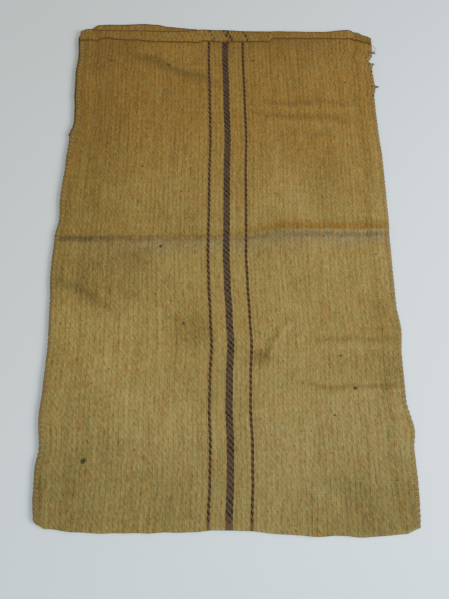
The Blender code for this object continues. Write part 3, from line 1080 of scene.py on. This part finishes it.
def make_loose_twine(twine, frayed):
    """Twine that has worked loose near the right end of the mouth: loops, knots and frayed ends."""
    rng = random.Random("loose twine")
    loops, ends = Tubes(), Tubes()
    for s, out, span in LOOSE_LOOPS:
        path = []
        for share in steps(0.0, 1.0, 1 / 12):
            swing = math.sin(math.pi * share)
            base = ply_point(SIDE_TURN - 0.003, s + span * (share - 0.5), 1, CLOTH / 2 + 0.0006)
            wobble = rng.uniform(-0.0005, 0.0005)
            path.append(base + Vector((swing * out + wobble, wobble, 0.0012 * swing)))
        loops.add(path, TWINE_RADIUS * 0.8, Vector((0, 0, 1)))
    for s, reach, count in FRAYED_ENDS:
        for _ in range(count):
            u = SIDE_TURN - rng.uniform(0.0, 0.008)
            start = ply_point(u, s + rng.uniform(-0.002, 0.002), 1, CLOTH / 2)
            splay = Vector((1.0, rng.uniform(-0.12, 0.12), rng.uniform(-0.25, 0.1))).normalized()
            length = (reach + 0.004) * rng.uniform(0.7, 1.0)
            curl = Vector((0, rng.uniform(-0.0015, 0.0015), rng.uniform(-0.002, 0.002)))
            path = [start + splay * length * share + curl * share * share for share in steps(0, 1, 1 / 5)]
            ends.add(path, rng.uniform(0.0009, 0.0015), Vector((0, 0, 1)), taper=0.45)
    loops.upper_piece("loose_side_twine", twine, "seam_twine", "front", "right")
    ends.upper_piece("frayed_twine_ends", frayed, "seam_twine", "front", "right")


def add_fibre(tubes, start, heading, length, rng):
    """One hair of jute that stands out of the cloth and bends over."""
    bend = Vector((rng.uniform(-1, 1), rng.uniform(-1, 1), -0.4)) * length * 0.5
    path = []
    for share in steps(0.0, 1.0, 1 / 4):
        point = start + heading * length * share + bend * share * share
        point.z = max(point.z, FIBRE_RADIUS)
        path.append(point)
    tubes.add(path, FIBRE_RADIUS * rng.uniform(0.7, 1.4), Vector((0, 0, 1)), taper=0.4)


def edge_fibres(tubes, side, start, end, face, rng):
    for s in steps(start, end, 0.0035):
        u = side * (SIDE_TURN + TURN * rng.uniform(-1, 1))
        base = ply_point(u, s + rng.uniform(-0.002, 0.002), face)
        heading = Vector((side, rng.uniform(-0.9, 0.9), rng.uniform(-0.3, 0.4))).normalized()
        add_fibre(tubes, base, heading, rng.uniform(0.002, 0.007), rng)


def face_fibres(tubes, left, right, start, end, face, count, rng):
    for _ in range(count):
        base = ply_point(rng.uniform(left, right), rng.uniform(start, end), face, CLOTH / 2)
        angle = rng.uniform(0, 2 * math.pi)
        heading = Vector((math.cos(angle), math.sin(angle), 0.35 * face)).normalized()
        add_fibre(tubes, base, heading, rng.uniform(0.003, 0.009), rng)


def make_fibres(jute):
    """Loose hairs on the cloth's faces and, thicker, along its edges."""
    rng = random.Random("fibres")
    top = MOUTH - HEM_WIDTH
    for face_label, face in FACES:
        lower = Tubes(sides=3)
        face_fibres(lower, -SIDE_TURN, SIDE_TURN, FOLD_TOP, MOUTH_HINGE - HAIR_GAP, face, 700, rng)
        for _, side in CORNERS:
            edge_fibres(lower, side, FOLD_TOP, MOUTH_HINGE - HAIR_GAP, face, rng)
        for u in steps(-SIDE_TURN, SIDE_TURN, 0.004):
            heading = Vector((rng.uniform(-0.8, 0.8), -1, 0.3 * face)).normalized()
            base = fold_point(u, FOLD_TURN - FOLD_LENGTH / 2)
            add_fibre(lower, base, heading, rng.uniform(0.002, 0.006), rng)
        lower.lower_piece(f"lower_{face_label}_fibres", jute, "jute_cloth")
        for side_label, side in CORNERS:
            upper = Tubes(sides=3)
            left, right = sorted((SPLIT, side * SIDE_TURN))
            face_fibres(upper, left, right, MOUTH_HINGE + HAIR_GAP, top, face, 350, rng)
            edge_fibres(upper, side, MOUTH_HINGE + HAIR_GAP, MOUTH, face, rng)
            name = f"upper_{face_label}_{side_label}_fibres"
            upper.upper_piece(name, jute, "jute_cloth", face_label, side_label)


def make_bark_bits(bark):
    """Dark slivers of bark left in the yarn, on the front."""
    lower, upper = Tubes(), {"left": Tubes(), "right": Tubes()}
    for (x, y), length, degrees in BARK_BITS:
        tubes = lower if y < MOUTH_HINGE else upper["left" if x < SPLIT else "right"]
        along = Vector((math.cos(math.radians(degrees)), math.sin(math.radians(degrees))))
        for aside, share in ((-0.25, 0.8), (0.0, 1.0), (0.25, 0.7)):
            path = []
            for place in steps(-0.5, 0.5, 1 / 6):
                u = x + along.x * length * share * place - along.y * length * aside
                s = y + along.y * length * share * place + along.x * length * aside
                path.append(ply_point(u, s, 1, CLOTH / 2 + 0.0004 * math.cos(math.pi * place)))
            tubes.add(path, length * 0.16, Vector((0, 0, 1)), flat=1.4, taper=0.5)
    lower.lower_piece("lower_bark_bits", bark, "jute_cloth")
    for side_label, tubes in upper.items():
        tubes.upper_piece(f"upper_{side_label}_bark_bits", bark, "jute_cloth", "front", side_label)


# ---------------------------------------------------------------- camera, floor and light


def make_camera():
    camera = bpy.data.cameras.new("camera")
    camera.sensor_width = 36
    camera.lens = 36.36
    item = place_object("camera", camera)
    dip, roll, yaw = math.radians(71.844), math.radians(2.942), math.radians(3.098)
    forward = Vector((math.sin(yaw) * math.cos(dip), math.cos(yaw) * math.cos(dip), -math.sin(dip)))
    level = Vector((math.cos(yaw), -math.sin(yaw), 0))
    upright = level.cross(forward)
    right = math.cos(roll) * level + math.sin(roll) * upright
    up = math.cos(roll) * upright - math.sin(roll) * level
    turn = Matrix((right, up, -forward)).transposed().to_4x4()
    item.matrix_world = Matrix.Translation((-0.0197, -0.4703, 1.1092)) @ turn
    bpy.context.scene.camera = item


def make_floor():
    reach, depth = 6.0, 0.0002
    mesh = bpy.data.meshes.new("floor")
    corners = [(x * reach, y * reach, -depth) for x, y in ((-1, -1), (1, -1), (1, 1), (-1, 1))]
    mesh.from_pydata(corners, [], [(0, 1, 2, 3)])
    mesh.materials.append(floor_material())
    place_object("floor", mesh)


def add_light(name, place, target, size, power, colour):
    light = bpy.data.lights.new(name, "AREA")
    light.size = size
    light.energy = power
    light.color = colour
    item = place_object(name, light)
    item.location = place
    item.rotation_euler = (Vector(target) - Vector(place)).to_track_quat("-Z", "Y").to_euler()


def make_lights():
    add_light("key", (1.5, -0.7, 1.5), (0.1, 0.0, 0), 1.1, 84, (0.93, 0.97, 1.0))
    add_light("fill", (-1.4, -1.0, 1.9), (0, 0, 0), 1.8, 16, (1.0, 0.97, 0.92))
    world = bpy.data.worlds.new("studio")
    bpy.context.scene.world = world
    world.use_nodes = True
    background = world.node_tree.nodes["Background"]
    background.inputs["Color"].default_value = (0.88, 0.95, 1.0, 1)
    background.inputs["Strength"].default_value = 0.46


make_camera()
make_floor()
make_lights()
cloth_material = jute_cloth()
twine_material = twisted_yarn("jute_twine", (0.130, 0.080, 0.026), (0.40, 0.30, 0.12), 0.0004)
frayed_material = twisted_yarn("frayed_twine", (0.050, 0.036, 0.022), (0.150, 0.105, 0.060), 0.0004)
thread_material = twisted_yarn("hem_thread", (0.080, 0.034, 0.007), (0.150, 0.074, 0.018), 0.0002, 0.02)
fibre_material = twisted_yarn("loose_jute_fibre", (0.26, 0.18, 0.07), (0.50, 0.40, 0.20), 0.0001)
bark_material = twisted_yarn("bark", (0.020, 0.020, 0.012), (0.070, 0.045, 0.025), 0.0003)
yarn_materials = {
    name: twisted_yarn(name, dark, pale, 0.0002, 0.02)
    for name, dark, pale in (
        ("dark_stripe_yarn", (0.008, 0.007, 0.006), (0.056, 0.036, 0.026)),
        ("thin_line_yarn", (0.009, 0.006, 0.003), (0.060, 0.025, 0.010)),
    )
}
make_lower_cloth(cloth_material)
make_bottom_fold(cloth_material)
make_upper_cloth(cloth_material)
make_seam_laps(cloth_material)
make_stripes(yarn_materials)
make_side_stitches(twine_material)
make_hem_stitches(thread_material)
make_loose_twine(twine_material, frayed_material)
make_fibres(fibre_material)
make_bark_bits(bark_material)
